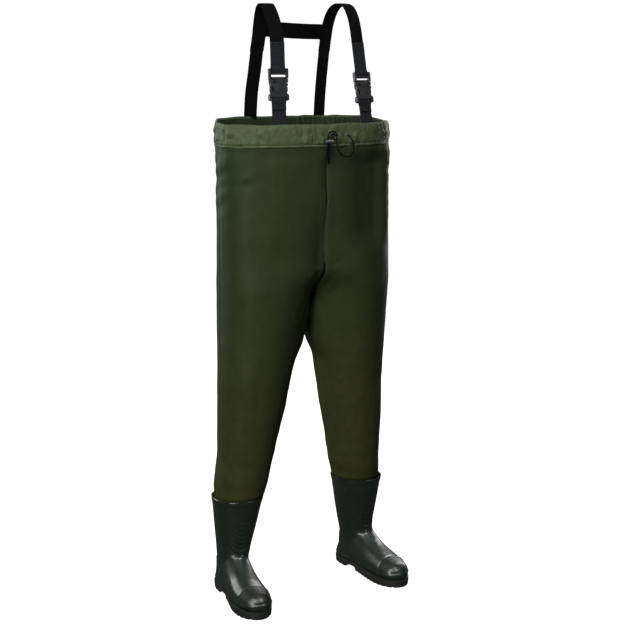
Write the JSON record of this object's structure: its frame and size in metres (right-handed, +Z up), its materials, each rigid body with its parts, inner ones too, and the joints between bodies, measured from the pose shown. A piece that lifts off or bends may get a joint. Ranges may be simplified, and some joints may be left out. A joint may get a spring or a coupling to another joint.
{
  "type": "chest waders",
  "caption": "Waterproof chest-high bib and legs with welded-on rubber boots, buckled shoulder braces joined behind, and a drawcord hem with a sliding cord lock.",
  "frame": {"origin": "on the ground, midway between the boots and midway from toes to heels", "axes": "+Z up, +Y behind the wearer, who faces -Y; the wearer's left is +X"},
  "size_m": [0.5558, 0.3042, 1.6562],
  "materials": {
    "coated_cloth": "satin PVC-coated nylon, dark olive",
    "seam_tape": "smooth",
    "boot_rubber": "semi-gloss",
    "sole_rubber": "matt",
    "footbed": "felt",
    "webbing": "woven polypropylene",
    "buckle_plastic": "fine satin",
    "cord": "braided",
    "eyelet_metal": "black enamel",
    "spring_steel": "plain"
  },
  "bodies": {
    "waders": {"centre_back_seam_tape": "seam_tape", "centre_front_seam_tape": "seam_tape", "cross_strap": "webbing", "drawcord_eyelets": "eyelet_metal", "drawcord_in_casing": "cord", "drawcord_knot": "cord", "drawcord_strand_left": "cord", "drawcord_strand_right": "cord", "left_adjuster_strap": "webbing", "left_back_hem_casing": "coated_cloth", "left_back_panel": "coated_cloth", "left_back_strap": "webbing", "left_boot_footbed": "footbed", "left_boot_outsole": "sole_rubber", "left_boot_upper": "boot_rubber", "left_buckle_female": "buckle_plastic", "left_cuff_seal": "seam_tape", "left_front_hem_casing": "coated_cloth", "left_front_hem_patch": "webbing", "left_front_panel": "coated_cloth", "left_inseam_tape": "seam_tape", "left_lower_strap": "webbing", "left_outseam_tape": "seam_tape", "left_shoulder_strap": "webbing", "right_adjuster_strap": "webbing", "right_back_hem_casing": "coated_cloth", "right_back_panel": "coated_cloth", "right_back_strap": "webbing", "right_boot_footbed": "footbed", "right_boot_outsole": "sole_rubber", "right_boot_upper": "boot_rubber", "right_buckle_female": "buckle_plastic", "right_cuff_seal": "seam_tape", "right_front_hem_casing": "coated_cloth", "right_front_hem_patch": "webbing", "right_front_panel": "coated_cloth", "right_inseam_tape": "seam_tape", "right_lower_strap": "webbing", "right_outseam_tape": "seam_tape", "right_shoulder_strap": "webbing"},
    "right_buckle_male": {"right_buckle_male": "buckle_plastic"},
    "right_buckle_arm_right": {"right_buckle_arm_right": "buckle_plastic"},
    "right_buckle_arm_left": {"right_buckle_arm_left": "buckle_plastic"},
    "left_buckle_male": {"left_buckle_male": "buckle_plastic"},
    "left_buckle_arm_right": {"left_buckle_arm_right": "buckle_plastic"},
    "left_buckle_arm_left": {"left_buckle_arm_left": "buckle_plastic"},
    "cord_lock": {"cord_lock_barrel": "buckle_plastic", "cord_lock_spring": "spring_steel"},
    "cord_lock_button": {"cord_lock_button": "buckle_plastic"}
  },
  "joints": [
    {"name": "right_buckle_release", "type": "slide", "parent": "waders", "child": "right_buckle_male", "axis": [0.008, 0.0694, 0.9976], "range_m": [0, 0.04], "deforming": ["right_adjuster_strap", "right_buckle_arm_right", "right_buckle_arm_left"]},
    {"name": "right_buckle_squeeze_right", "type": "hinge", "parent": "right_buckle_male", "child": "right_buckle_arm_right", "pos_m": [-0.15377, -0.07707, 1.45606], "axis": [-0.114, -0.991, 0.0698], "range_deg": [0, 10.5], "stiffness_Nm_per_rad": 0.8},
    {"name": "right_buckle_squeeze_left", "type": "hinge", "parent": "right_buckle_male", "child": "right_buckle_arm_left", "pos_m": [-0.11403, -0.08164, 1.45606], "axis": [0.114, 0.991, -0.0698], "range_deg": [0, 10.5], "stiffness_Nm_per_rad": 0.8},
    {"name": "left_buckle_release", "type": "slide", "parent": "waders", "child": "left_buckle_male", "axis": [-0.0228, 0.1981, 0.9799], "range_m": [0, 0.04], "deforming": ["left_adjuster_strap", "left_buckle_arm_right", "left_buckle_arm_left"]},
    {"name": "left_buckle_squeeze_right", "type": "hinge", "parent": "left_buckle_male", "child": "left_buckle_arm_right", "pos_m": [0.1125, -0.06837, 1.44554], "axis": [0.112, -0.9735, 0.1994], "range_deg": [0, 10.5], "stiffness_Nm_per_rad": 0.8},
    {"name": "left_buckle_squeeze_left", "type": "hinge", "parent": "left_buckle_male", "child": "left_buckle_arm_left", "pos_m": [0.15224, -0.0638, 1.44554], "axis": [-0.112, 0.9735, -0.1994], "range_deg": [0, 10.5], "stiffness_Nm_per_rad": 0.8},
    {"name": "cord_lock_slide", "type": "slide", "parent": "waders", "child": "cord_lock", "axis": [0, 0, -1], "range_m": [0, 0.028]},
    {"name": "cord_lock_press", "type": "slide", "parent": "cord_lock", "child": "cord_lock_button", "axis": [1, 0, 0], "range_m": [0, 0.004], "stiffness_N_per_m": 600, "deforming": ["cord_lock_spring"]}
  ],
  "couplings": [
    {"joint": "right_buckle_squeeze_left", "follows": "right_buckle_squeeze_right", "ratio": 1},
    {"joint": "left_buckle_squeeze_left", "follows": "left_buckle_squeeze_right", "ratio": 1}
  ]
}
